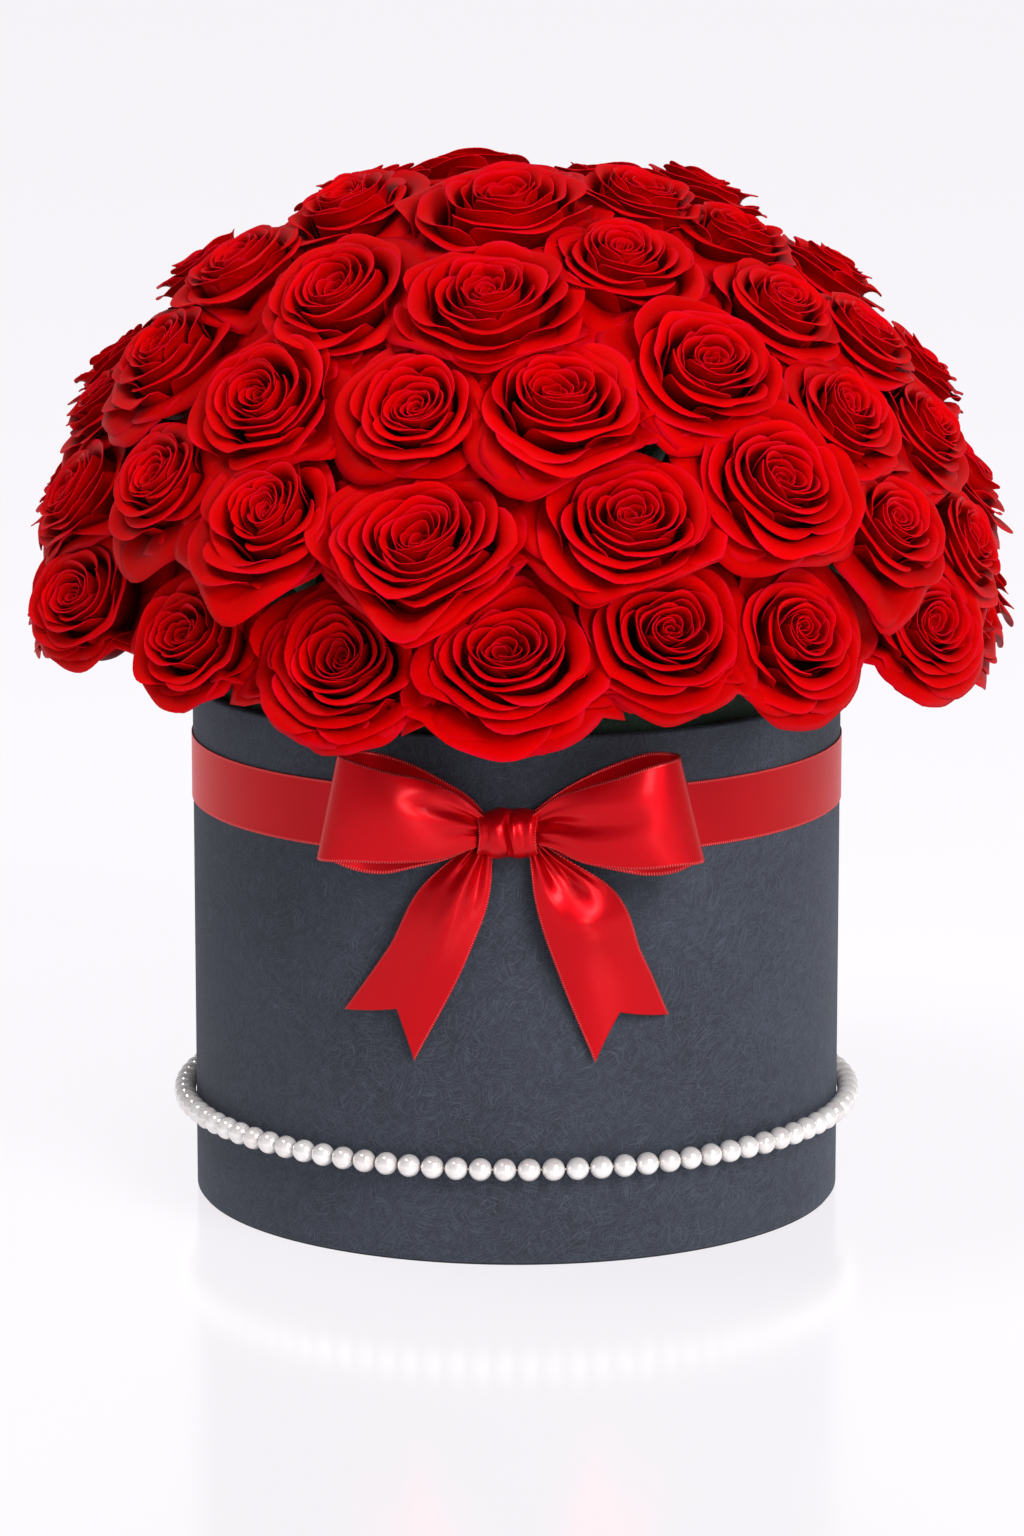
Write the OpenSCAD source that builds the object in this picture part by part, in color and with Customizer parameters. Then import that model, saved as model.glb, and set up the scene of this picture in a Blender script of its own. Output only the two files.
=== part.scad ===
// Round flower box with a ribbon bow, a strand of pearls and a lift-out insert of roses.
// Millimetres, +Z up. The origin is the centre of the flat base, and the bow faces -Y.

/* [Box] */
// Outside diameter of the covered box
box_d = 250; // [230:5:300]
// Height of the box from its base to its rim
box_h = 200; // [190:5:205]
// Thickness of the grey board of the wall and the base
board_t = 2.5; // [1.5:0.5:3]
// Thickness of the outer covering paper
wrap_t = 0.8; // [0.4:0.1:1]
// Thickness of the lining paper and of the base paper
lining_t = 0.6; // [0.3:0.1:0.8]
// Depth of the covering paper that is turned over the rim
rim_turn = 16; // [8:1:25]
// Width of the covering paper that is turned under the base
base_turn = 14; // [8:1:25]

/* [Ribbon band and bow] */
// Width of the ribbon band around the box
band_w = 25; // [15:1:30]
// Height of the band's lower edge above the base
band_z = 155; // [140:1:160]
// Thickness of the ribbon
ribbon_t = 0.5; // [0.4:0.1:0.8]
// Sideways place of the bow's knot
bow_x = -3.5; // [-10:0.5:10]
// Height of the bow's knot
bow_z = 166; // [160:1:172]
// Length of the knot along the bow
knot_w = 21; // [18:1:24]
// Diameter of the knot
knot_d = 15; // [13:1:17]
// Depth of each loop from its back layer to its front layer
loop_depth = 20; // [14:1:24]

/* [Pearl strand] */
// Diameter of one pearl
pearl_d = 8.6; // [6:0.2:9]
// Distance between pearl centres along the strand
pearl_pitch = 9; // [9:0.1:12]
// Height of the strand above the base
pearl_z = 38; // [20:1:60]
// Diameter of the thread through the pearls
thread_d = 0.7; // [0.4:0.1:0.8]

/* [Insert] */
// Height of the waterproof liner tray
tray_h = 170; // [120:2:180]
// Thickness of the liner tray
tray_t = 0.8; // [0.6:0.1:1.5]
// Height at which the lower foam block ends and the domed one begins
foam_split = 110; // [80:5:140]
// Highest point of the foam dome
foam_top = 296; // [280:4:300]

/* [Roses] */
// Half width of the dome on which the faces of the blooms lie
dome_r = 188; // [182:1:192]
// Height of that dome above its widest level
dome_h = 163; // [152:1:168]
// Height of the widest level of the dome
dome_z = 240; // [236:1:246]
// Height on the axis that every stem points at
stem_focus = 170; // [160:1:172]
// Diameter of a rose stem
stem_d = 6; // [4:0.5:7]

/* [Hidden] */
$fn = 96;
glue = 0.1;                      // glue line between glued layers
sheet_gap = 0.3;                 // free play between loose layers
tray_room = 1.2;                 // free play round the liner tray, for lifting it out
dot_t = 1.5;                     // thickness of the glue dot behind the bow
box_r = box_d / 2;
wall_r = box_r - wrap_t - glue;  // outside of the board wall
bore_r = wall_r - board_t;       // inside of the board wall
base_z = lining_t + glue + wrap_t + glue;
floor_z = base_z + board_t + glue + lining_t;
turn_r = bore_r - glue - wrap_t; // narrowest radius, inside the turned rim
tray_r = turn_r - tray_room;
foam_r = tray_r - tray_t - sheet_gap;
foam_z = floor_z + tray_t;
foam_shoulder_r = foam_r - 6;    // the foam tapers from below the rim to its dome
foam_shoulder_z = box_h + 24;
bow_plane = -(box_r + ribbon_t + dot_t + 3 * glue); // back of the knot and the loops

SIDES = ["front", "right", "back", "left"];
ROWS = [1, 2, 3, 4];
CROWN = 5;

// Every rose, in rows from the rim up: direction round the box from the front towards the
// right and height on the dome (degrees), width of the bloom, how far its face stands out
// from the dome, how much it leans up from its stem and, where it isn't 0, how far it turns
// round the box from its stem (degrees).
ROW_1 = [
    [-83, 1, 54, -7, 6], [-63, 3, 54, 0, 4, 16], [-41, 1, 52, 0, 6], [-20, 1, 66, 2, 14],
    [-1, 2, 70, 3, 14], [17, 4, 58, 2, 4], [34, 2, 56, 0, 4], [57, 0, 50, 0, 2, -16],
    [78, 1, 56, -9, 8], [98, 3, 60, -5, 12], [118, 0, 58, -7, 4], [138, 2, 62, -4, 14],
    [158, 1, 56, -7, 2], [178, 2, 62, -5, 12], [198, 0, 58, -7, 6], [218, 2, 60, -4, 14],
    [238, 3, 56, -7, 2], [258, 1, 60, -5, 10]
];
ROW_2 = [
    [-91, 17, 54, -7, 6], [-70, 16, 48, 0, 2], [-50, 21, 46, 0, 0], [-31, 18, 58, 2, 12],
    [-11, 15, 78, 9, 20], [13, 18, 66, 4, 14], [33, 21, 60, 5, -4], [51, 15, 50, 0, 4],
    [69, 10, 50, 0, 0], [88, 18, 54, -5, 8], [107, 15, 58, -7, 4], [127, 19, 56, -3, 12],
    [148, 16, 60, -7, 7], [168, 18, 58, -4, 14], [188, 15, 56, -7, 3],
    [208, 18, 60, -3, 8], [228, 16, 56, -7, 4], [248, 19, 56, -4, 12]
];
ROW_3 = [
    [-81, 29, 48, -4, 4], [-63, 37, 52, 2, 2], [-37, 32, 56, 2, -8],
    [-14, 33, 52, 0, -10], [6, 34, 62, 4, 6], [28, 38, 58, 4, -4], [50, 30, 50, 0, 2],
    [68, 26, 48, 0, 0], [90, 33, 54, -2, 4], [111, 34, 58, -4, -4], [132, 31, 58, 0, 6],
    [154, 35, 60, -4, -2], [176, 32, 58, 0, 8], [198, 35, 58, -4, -4],
    [219, 31, 56, -1, 6], [240, 34, 58, -4, 0], [260, 31, 54, -1, 4]
];
ROW_4 = [
    [-67, 52, 52, 2, 0], [-33, 49, 58, 3, -8], [-5, 50, 66, 4, 4], [23, 57, 56, 2, 0],
    [52, 47, 50, 0, -4], [68, 40, 46, 0, 2], [95, 49, 52, -1, 0], [122, 50, 56, -3, 4],
    [150, 48, 58, 1, -4], [178, 51, 58, -3, 6], [206, 48, 58, 1, 0],
    [233, 50, 56, -3, 4], [262, 49, 54, 0, -2]
];
ROW_5 = [
    [-64, 67, 56, 2, -4], [-3, 69, 72, 5, 0], [51, 71, 50, 2, -4], [65, 60, 48, 0, 0],
    [110, 66, 56, 3, -2], [150, 67, 58, 0, 2], [195, 66, 58, 4, -2], [242, 68, 56, 0, 0],
    [0, 89, 62, -7, -6]
];
ROSES = [[], ROW_1, ROW_2, ROW_3, ROW_4, ROW_5];
BLOOMS = [for (row = ROSES) for (rose = row) rose];

/* ---- shared shapes ---- */

// A ring between two radii and two heights.
module band_ring(inner, outer, low, high) {
    rotate_extrude() translate([inner, low]) square([outer - inner, high - low]);
}

FOCUS = [0, 0, stem_focus];
function unit(v) = v / norm(v);

// What the numbers of one rose mean.
function around(rose) = rose[0];
function up(rose) = rose[1];
function width(rose) = rose[2];
function stand_out(rose) = rose[3];
function lean(rose) = rose[4];
function turn(rose) = len(rose) > 5 ? rose[5] : 0;

// Point where a bloom's face lies: on the dome, or standing out from it.
function dome_point(rose) = [
    dome_r * cos(up(rose)) * sin(around(rose)),
    -dome_r * cos(up(rose)) * cos(around(rose)),
    dome_z + dome_h * sin(up(rose))
];
function face_point(rose) =
    dome_point(rose) + stand_out(rose) * unit(dome_point(rose) - FOCUS);

// Direction that a bloom faces, as a height, a heading and a vector.
function lift(rose) = asin(unit(dome_point(rose) - FOCUS)[2]) + lean(rose);
function heading(rose) = around(rose) + turn(rose);
function facing(rose) = [
    cos(lift(rose)) * sin(heading(rose)), -cos(lift(rose)) * cos(heading(rose)), sin(lift(rose))
];

// Depth of a bloom from its base to its face: a wider bloom is deeper.
depth_least = 14;
depth_share = 0.4;
function bloom_depth(rose) = depth_least + depth_share * width(rose);
function base_point(rose) = face_point(rose) - facing(rose) * bloom_depth(rose);

// Centre of the widest section of a bloom.
rim_share = 0.7;
function rim_point(rose) =
    face_point(rose) - facing(rose) * bloom_depth(rose) * (1 - rim_share);

// Radius of a bloom's firm body: its own, or what its nearest neighbour leaves, with more
// room between blooms that lean.
firm_share = 0.47;
room_least = 1.2;
room_per_degree = 0.09;
function room_between(rose, other) =
    room_least + room_per_degree * (abs(lean(rose)) + abs(lean(other)));
function shared_radius(rose, other) =
    norm(rim_point(rose) - rim_point(other)) * width(rose) / (width(rose) + width(other))
        - room_between(rose, other);
function firm_radius(rose) = min([
    for (other = BLOOMS)
        if (other != rose) min(firm_share * width(rose), shared_radius(rose, other))
]);

// The quarter of the box that a rose is in, and the roses of one row in one quarter.
function side_of(rose) = SIDES[floor(((around(rose) + 45 + 360) % 360) / 90)];
function roses_of(row, side) = [
    for (rose = ROSES[row]) if (side == "all" || side_of(rose) == side) rose
];

// Places its children at a point, with their Z axis along a direction.
module along(point, dir) {
    translate(point) rotate([0, acos(dir[2]), atan2(dir[1], dir[0])]) children();
}

/* ---- box ---- */

module wall_tube() color("#8c8a86")
    band_ring(bore_r, wall_r, base_z, box_h - wrap_t - glue);

module base_disc() color("#8c8a86")
    translate([0, 0, base_z]) cylinder(r = bore_r - glue, h = board_t);

// The covering paper goes up the outside, over the rim and under the base.
module outer_wrap() color("#3c424e") rotate_extrude() polygon([
    [box_r - base_turn, lining_t + glue],
    [box_r, lining_t + glue],
    [box_r, box_h],
    [turn_r, box_h],
    [turn_r, box_h - rim_turn],
    [turn_r + wrap_t, box_h - rim_turn],
    [turn_r + wrap_t, box_h - wrap_t],
    [box_r - wrap_t, box_h - wrap_t],
    [box_r - wrap_t, lining_t + glue + wrap_t],
    [box_r - base_turn, lining_t + glue + wrap_t]
]);

trim = 1; // how far a lining paper stops short of the edge that it is cut to

module base_paper() color("#23262d") cylinder(r = box_r - trim, h = lining_t);

module wall_lining() color("#d8d5cd")
    band_ring(bore_r - glue - lining_t, bore_r - glue, floor_z, box_h - rim_turn - trim);

module floor_lining() color("#d8d5cd")
    translate([0, 0, base_z + board_t + glue])
        cylinder(r = bore_r - glue - lining_t, h = lining_t);

/* ---- ribbon ---- */

module ribbon_band() color("#b3141f")
    band_ring(box_r + glue, box_r + glue + ribbon_t, band_z, band_z + band_w);

dot_d = 11;
module bow_glue_dot() color("#d9cfae")
    translate([bow_x, bow_plane + glue, bow_z]) rotate([-90, 0, 0]) cylinder(d = dot_d, h = dot_t);

// Keeps what lies in front of the bow's back plane.
module before_bow_plane() {
    reach = 50;
    intersection() {
        children();
        translate([bow_x - reach, bow_plane - reach, bow_z - reach])
            cube([2 * reach, reach, 2 * reach]);
    }
}

// The centre wrap is a barrel round the gathered ribbon.
module bow_knot() color("#c31522") {
    bulge = 1.2;
    flat = 1; // depth of the flat that rests on the gathered ribbon
    before_bow_plane()
        translate([bow_x, bow_plane - knot_d / 2 + flat, bow_z]) rotate([0, 90, 0])
            rotate_extrude() polygon([
                [0, -knot_w / 2], [knot_d / 2 - bulge, -knot_w / 2],
                [knot_d / 2 - bulge / 4, -knot_w / 4], [knot_d / 2, 0],
                [knot_d / 2 - bulge / 4, knot_w / 4], [knot_d / 2 - bulge, knot_w / 2],
                [0, knot_w / 2]
            ]);
}

// Right-hand loop, seen from the front, from the knot's centre.
loop_reach = 72;
LOOP_FRONT = [
    [knot_w / 2, 6], [24, 16], [38, 24], [51, 28.5], [62, 28.5],
    [69, 10], [loop_reach, -9.5], [60, -13.5], [44, -15], [26, -11], [knot_w / 2, -6]
];
loop_low = -30;
loop_high = 40;
loop_len = loop_reach - knot_w / 2;
loop_steps = 24;

// Half depth of a loop at a share s of its length: narrow at the knot, full near the fold.
fullness = 0.62; // makes the widest place of the plan about as wide as the depth
gathered_half = 1.5;
function loop_half(s, depth) =
    depth * fullness * sqrt(s * (1 - pow(s, 6))) + gathered_half * (1 - s);
LOOP_OUT = [for (i = [0:loop_steps]) i / loop_steps];
LOOP_BACK = [for (i = [loop_steps - 1:-1:0]) i / loop_steps];
function loop_outline(depth, start, len) = concat(
    [for (s = LOOP_OUT) [start + len * s, loop_half(s, depth)]],
    [for (s = LOOP_BACK) [start + len * s, -loop_half(s, depth)]]
);

// A loop is an upright strip with a teardrop plan, cut to the outline it has from the front.
module bow_loop() {
    wall = 2 * ribbon_t;
    neck = 3; // length over which the two layers are gathered solid
    mid_y = bow_plane - knot_d / 2;
    intersection() {
        translate([0, mid_y, loop_low]) linear_extrude(loop_high - loop_low) difference() {
            polygon(loop_outline(loop_depth, knot_w / 2, loop_len));
            polygon(loop_outline(loop_depth - 3 * wall, knot_w / 2 + neck, loop_len - neck - wall));
        }
        translate([0, mid_y + loop_depth, 0]) rotate([90, 0, 0])
            linear_extrude(2 * loop_depth) polygon(LOOP_FRONT);
    }
}
module bow_loop_right() color("#c31522") translate([bow_x, 0, bow_z]) bow_loop();
module bow_loop_left() color("#c31522") translate([bow_x, 0, bow_z]) mirror([1, 0, 0]) bow_loop();

// Right-hand tail, seen from the front, from the knot's centre, with its swallowtail cut.
TAIL_FRONT = [
    [6.2, -3], [11, -3], [22, -9], [36, -19], [49, -46], [59.5, -70.5], [41.5, -66.5],
    [32.5, -85.5], [19.5, -55], [9.5, -22]
];

// A tail lies round the box wall, a little way off it.
module bow_tail() {
    near = box_r + glue + ribbon_t + sheet_gap;
    hang = 90; // more than a tail's length
    intersection() {
        band_ring(near, near + 2 * ribbon_t, -hang, 0);
        translate([bow_x, 0, 0]) rotate([90, 0, 0]) linear_extrude(box_d) children();
    }
}
module bow_tail_right() color("#b81420") translate([0, 0, bow_z]) bow_tail() polygon(TAIL_FRONT);
module bow_tail_left() color("#b81420") translate([0, 0, bow_z])
    bow_tail() mirror([1, 0]) polygon(TAIL_FRONT);

/* ---- pearls ---- */

pearl_room = 0.2; // between a pearl and the wall
hole_play = 0.4;  // between the thread and its hole
strand_r = box_r + pearl_d / 2 + pearl_room;
pearl_count = floor(360 / (2 * asin(pearl_pitch / 2 / strand_r)));

// One pearl on the X side, drilled along the strand.
module pearl() difference() {
    sphere(d = pearl_d, $fn = 32);
    rotate([90, 0, 0])
        cylinder(d = thread_d + hole_play, h = pearl_d + 1, center = true, $fn = 16);
}

module pearls() color("#f2efec") translate([0, 0, pearl_z])
    for (i = [0:pearl_count - 1])
        rotate([0, 0, i * 360 / pearl_count]) translate([strand_r, 0, 0]) pearl();

module pearl_thread() color("#e9e4da") translate([0, 0, pearl_z])
    rotate_extrude() translate([strand_r, 0]) circle(d = thread_d, $fn = 16);

/* ---- insert ---- */

module liner_tray() color("#b9c4c2") translate([0, 0, floor_z]) difference() {
    cylinder(r = tray_r, h = tray_h);
    translate([0, 0, tray_t]) cylinder(r = tray_r - tray_t, h = tray_h);
}

module foam_lower() color("#3f6b46")
    translate([0, 0, foam_z]) cylinder(r = foam_r, h = foam_split - foam_z);

// The upper foam is carved to a dome above a tapered shoulder.
module foam_dome() color("#3f6b46") {
    rise = foam_top - foam_shoulder_z;
    ball_r = (foam_shoulder_r * foam_shoulder_r + rise * rise) / (2 * rise);
    dome_steps = 12;
    half_angle = asin(foam_shoulder_r / ball_r);
    rim_gap = 5; // the taper starts this far below the rim
    rotate_extrude() polygon(concat(
        [[0, foam_split], [foam_r, foam_split], [foam_r, box_h - rim_gap]],
        [for (i = [0:dome_steps])
            let (a = half_angle * (1 - i / dome_steps))
                [ball_r * sin(a), foam_top - ball_r + ball_r * cos(a)]]
    ));
}

/* ---- roses ---- */

base_r = 7; // radius where a bloom sits on its calyx

// Firm body of a bloom: a cup up to its widest section and a low crown above it.
module bloom(r, depth) {
    step = 15;
    rim = rim_share * depth;
    rotate_extrude() polygon(concat(
        [[0, 0], [base_r, 0]],
        [for (a = [step:step:90]) [base_r + (r - base_r) * sin(a), rim * (1 - cos(a))]],
        [for (a = [step:step:90 - step]) [r * sqrt(cos(a)), rim + (depth - rim) * sin(a)]],
        [[0, depth]]
    ));
}

// Green calyx under the bloom: it swells a little, then narrows to the neck of the stem.
calyx_len = 11;
module calyx() rotate_extrude() polygon([
    [0, 0], [base_r, 0], [base_r + 0.6, -3], [base_r - 1.5, -7],
    [stem_d / 2 - 0.5, -calyx_len], [0, -calyx_len]
]);

stem_end = 60; // distance from the focus at which every stem is cut off

// Calyx and cut stem are one grown piece: the stem points at the focus, the calyx leans.
module stem(rose) {
    neck = base_point(rose) - facing(rose) * (calyx_len - 1);
    along(base_point(rose), facing(rose)) calyx();
    along(FOCUS + unit(neck - FOCUS) * stem_end, unit(neck - FOCUS))
        cylinder(d = stem_d, h = norm(neck - FOCUS) - stem_end);
    translate(neck) sphere(d = stem_d + 1, $fn = 32);
}

module blooms(row, side) color("#d8060c") for (rose = roses_of(row, side))
    along(base_point(rose), facing(rose)) bloom(firm_radius(rose), bloom_depth(rose));

module stems(row, side) color("#4c7a34") for (rose = roses_of(row, side)) stem(rose);

wall_tube();
base_disc();
outer_wrap();
base_paper();
wall_lining();
floor_lining();
ribbon_band();
bow_glue_dot();
bow_knot();
bow_loop_left();
bow_loop_right();
bow_tail_left();
bow_tail_right();
pearls();
pearl_thread();
liner_tray();
foam_lower();
foam_dome();
blooms(CROWN, "all");  // roses_crown
stems(CROWN, "all");  // stems_crown
for (row = ROWS) for (side = SIDES) {
    blooms(row, side);
    stems(row, side);
}
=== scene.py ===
import math

import bpy
import numpy as np
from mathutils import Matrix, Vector


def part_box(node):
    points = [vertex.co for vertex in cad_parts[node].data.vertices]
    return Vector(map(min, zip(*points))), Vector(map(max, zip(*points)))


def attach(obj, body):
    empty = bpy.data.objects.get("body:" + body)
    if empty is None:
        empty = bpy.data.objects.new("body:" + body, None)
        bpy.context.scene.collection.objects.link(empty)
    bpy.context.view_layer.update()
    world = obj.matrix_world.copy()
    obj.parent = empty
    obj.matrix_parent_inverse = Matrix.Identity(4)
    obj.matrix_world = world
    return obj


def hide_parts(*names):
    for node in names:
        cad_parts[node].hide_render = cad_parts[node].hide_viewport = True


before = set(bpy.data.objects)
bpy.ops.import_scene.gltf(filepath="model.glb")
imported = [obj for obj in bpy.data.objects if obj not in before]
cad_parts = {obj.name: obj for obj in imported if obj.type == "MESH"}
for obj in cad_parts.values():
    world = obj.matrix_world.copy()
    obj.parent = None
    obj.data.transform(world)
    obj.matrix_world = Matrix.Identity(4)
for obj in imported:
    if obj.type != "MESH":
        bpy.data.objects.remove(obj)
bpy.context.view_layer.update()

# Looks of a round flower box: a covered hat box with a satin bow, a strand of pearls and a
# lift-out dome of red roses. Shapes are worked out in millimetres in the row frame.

MM = 0.001
SCENE = bpy.context.scene

# Sizes and places in millimetres; those of the CAD are the same as in part.scad.
WALL = 125.0  # radius of the covered box
FOCUS = np.array([0.0, 0.0, 170.0])  # every stem points here
DEPTH_LEAST, DEPTH_SHARE = 14, 0.4  # a bloom's depth is this much, and this share of its width
KNOT = np.array([-3.5, -134.8, 166.0])  # centre of the bow's knot
RIBBON_HALF = 19.0  # half the width of the bow's ribbon
BAND_HALF = 12.5  # half the width of the band round the box
BAND_RADIUS = 125.35  # along which the band's length is counted
BAND_CLEAR = 0.01  # how far outside that radius the band's middle lies
BAND_LAP = 18  # how far the band passes over its own start, at the back
HELD_END = 8.0  # ribbon at each end of a loop that the knot hides
TAIL_CUT = 92.0  # the tail's longest edge
NOTCH = 0.155  # depth of the swallowtail cut, as a share of the tail's length
PRESS = 5.0  # how far the petals of neighbours reach into each other
DRAWN_RADIUS = 28  # a petal's sizes are given for a bloom of this radius
GOLDEN = math.radians(137.5)  # turn from one petal to the next
FLOOR_HALF = 80000.0  # half the floor's width, to keep its edge out of the views
FLOOR_GLOW = 0.77  # light that the floor gives off, so that it looks evenly lit

# The camera in metres, fitted to the ellipses of the foot, the band and the pearls.
CAMERA_PLACE, CAMERA_TARGET, CAMERA_LENS = (-0.0018, -2.2563, 0.6103), (-0.0018, 0, 0.164), 139.2


# ---------------------------------------------------------------- camera, light and floor

def point_at(obj, target):
    obj.rotation_euler = (Vector(target) - obj.location).to_track_quat("-Z", "Y").to_euler()


def add_camera():
    camera = bpy.data.objects.new("camera", bpy.data.cameras.new("camera"))
    SCENE.collection.objects.link(camera)
    camera.location = CAMERA_PLACE
    point_at(camera, CAMERA_TARGET)
    camera.data.lens = CAMERA_LENS
    camera.data.sensor_width = 36
    camera.data.clip_end = 50
    SCENE.camera = camera


def add_softbox(name, location, target, size, power):
    light = bpy.data.objects.new(name, bpy.data.lights.new(name, "AREA"))
    SCENE.collection.objects.link(light)
    light.location = location
    point_at(light, target)
    light.data.shape = "RECTANGLE"
    light.data.size, light.data.size_y = size
    light.data.energy = power


def add_world():
    """White walls that get dimmer towards the ceiling."""
    world = bpy.data.worlds.new("studio")
    SCENE.world = world
    world.use_nodes = True
    tree = world.node_tree
    direction = tree.nodes.new("ShaderNodeTexCoord").outputs["Generated"]
    split = tree.nodes.new("ShaderNodeSeparateXYZ")
    level = tree.nodes.new("ShaderNodeMapRange")
    tree.links.new(direction, split.inputs[0])
    tree.links.new(split.outputs["Z"], level.inputs["Value"])
    for key, value in (("From Min", 0.35), ("From Max", 0.75), ("To Min", 0.45),
                       ("To Max", 0.15)):
        level.inputs[key].default_value = value
    background = tree.nodes["Background"]
    background.inputs["Color"].default_value = (0.97, 0.96, 1.0, 1)
    tree.links.new(level.outputs[0], background.inputs["Strength"])


add_camera()
add_world()
SCENE.view_settings.view_transform = "Standard"
add_softbox("key", (1.3, -1.95, 1.6), (0, 0, 0.2), (1.1, 1.1), 52)
add_softbox("front", (0.85, -2.45, 0.62), (0, 0, 0.15), (0.5, 0.5), 9)
add_softbox("top", (-0.7, -0.5, 2.2), (0, 0, 0.25), (0.8, 0.8), 22)


# ---------------------------------------------------------------- materials

class Look:
    """A material whose nodes are made by plain calls that return output sockets."""

    def __init__(self, name, **shader):
        self.material = bpy.data.materials.new(name)
        self.material.use_nodes = True
        self.tree = self.material.node_tree
        self.shader = self.tree.nodes["Principled BSDF"]
        for key, value in shader.items():
            self.put(self.shader.inputs[key.replace("_", " ")], value)

    def put(self, socket, value):
        if isinstance(value, bpy.types.NodeSocket):
            self.tree.links.new(value, socket)
        elif isinstance(value, tuple) and len(socket.default_value) == 4:
            socket.default_value = (*value[:3], 1)
        else:
            socket.default_value = value

    def add(self, kind, inputs, out=0, **settings):
        node = self.tree.nodes.new("ShaderNode" + kind)
        for key, value in settings.items():
            setattr(node, key, value)
        for key, value in inputs.items():
            self.put(node.inputs[key], value)
        return node.outputs[out]

    def math(self, operation, a, b=0.0):
        return self.add("Math", {0: a, 1: b}, operation=operation)

    def attribute(self, name):
        return self.add("Attribute", {}, "Fac", attribute_name=name)

    def place(self):
        return self.add("TexCoord", {}, "Object")

    def uv(self):
        return self.add("UVMap", {}, "UV")

    def scaled(self, vector, scale, turn=0.0, move=(0, 0, 0)):
        """Turns the coordinates before they are scaled, so that a stretch is turned too."""
        turned = self.add("Mapping", {"Vector": vector, "Rotation": (0, 0, math.radians(turn))})
        return self.add("Mapping", {"Vector": turned, "Scale": scale, "Location": move})

    def noise(self, vector, scale, detail=2.0, rough=0.5, distortion=0.0, out="Fac"):
        return self.add("TexNoise", {"Vector": vector, "Scale": scale, "Detail": detail,
                                     "Roughness": rough, "Distortion": distortion}, out)

    def ramp(self, value, *stops):
        output = self.add("ValToRGB", {0: value})
        elements = output.node.color_ramp.elements
        for element, (place, colour) in zip((elements[0], elements[1]), (stops[0], stops[-1])):
            element.position, element.color = place, (*colour, 1)
        for place, colour in stops[1:-1]:
            elements.new(place).color = (*colour, 1)
        return output

    def levels(self, value, low, high, start=0.0, end=1.0):
        return self.add("MapRange", {"Value": value, "From Min": low, "From Max": high,
                                     "To Min": start, "To Max": end})

    def mix(self, share, a, b, blend="MIX"):
        return self.add("Mix", {0: share, 6: a, 7: b}, 2, data_type="RGBA", blend_type=blend)

    def bump(self, height, distance):
        return self.add("Bump", {"Height": height, "Distance": distance * MM, "Strength": 1.0})

    def finish(self, **sockets):
        for key, value in sockets.items():
            self.put(self.shader.inputs[key.replace("_", " ")], value)
        return self.material


def petal_look():
    """Velvety red, painted darker towards the petal's base as shade, with a painted pink highlight
    along parts of its rim.
    """
    look = Look("petal", Specular_IOR_Level=0.22, Sheen_Weight=0.06, Sheen_Roughness=0.4)
    look.put(look.shader.inputs["Specular Tint"], (1.0, 0.02, 0.02))
    look.put(look.shader.inputs["Sheen Tint"], (1.0, 0.0, 0.03))
    uv = look.uv()
    veins = look.noise(look.scaled(uv, (900, 60, 1)), 1, 3, 0.6)
    cells = look.noise(uv, 1800, 2, 0.6)
    # Painted shade: the red darkens from the rim down to near black low in the bloom.
    body = look.ramp(look.attribute("deep"), (0, (0.75, 0.0003, 0.0004)),
                     (0.35, (0.52, 0.0001, 0.0003)), (0.75, (0.20, 0.0, 0.0004)),
                     (1, (0.05, 0.0, 0.0004)))
    tone = look.ramp(look.attribute("tone"), (0, (0.80, 0.7, 0.7)), (1, (1.0, 1.0, 1.0)))
    colour = look.mix(1.0, body, tone, "MULTIPLY")
    colour = look.mix(look.levels(veins, 0.35, 0.75, 0, 0.16), colour, (0.30, 0.0, 0.002))
    # Painted highlight: a pinker red along the rims, only in noise patches.
    faded = look.levels(look.noise(uv, 55, 2), 0.42, 0.62, 0.1, 0.7)
    rim = look.math("MULTIPLY", look.attribute("rim"), faded)
    colour = look.mix(rim, colour, (0.66, 0.003, 0.022))
    height = look.math("ADD", veins, look.math("MULTIPLY", cells, 0.4))
    material = look.finish(Base_Color=colour, Roughness=look.levels(cells, 0.2, 0.8, 0.48, 0.62),
                           Normal=look.bump(height, 0.12))
    glow = look.add("BsdfTranslucent", {"Color": colour})
    mixed = look.add("MixShader", {0: 0.11, 1: look.shader.outputs[0], 2: glow})
    look.tree.links.new(mixed, look.tree.nodes["Material Output"].inputs["Surface"])
    return material


def round_wall(look, radius):
    """Coordinates on the round wall in metres: along it from the front, and up."""
    place = look.add("SeparateXYZ", {0: look.place()})
    x, y, z = place.node.outputs
    turn = look.math("ARCTAN2", x, look.math("MULTIPLY", y, -1.0))
    return look.add("CombineXYZ", {0: look.math("MULTIPLY", turn, radius), 1: z})


def fibre_layer(look, wall, turn, seed, bend, fine):
    """Thin hairs that follow a bent grid: 1 on a hair and 0 beside it."""
    sway = look.noise(look.scaled(wall, (1, 1, 1), 0, (seed, seed, 0)), 45, 1, 0.5, out="Color")
    sway = look.add("VectorMath", {0: sway, 1: (0.5, 0.5, 0.5)}, operation="SUBTRACT")
    sway = look.add("VectorMath", {0: sway, "Scale": bend}, operation="SCALE")
    bent = look.add("VectorMath", {0: wall, 1: sway}, operation="ADD")
    hairs = look.noise(look.scaled(bent, (150, fine, 1), turn, (seed, 0, 0)), 1, 2, 0.6)
    return look.levels(hairs, 0.55, 0.68)


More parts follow.
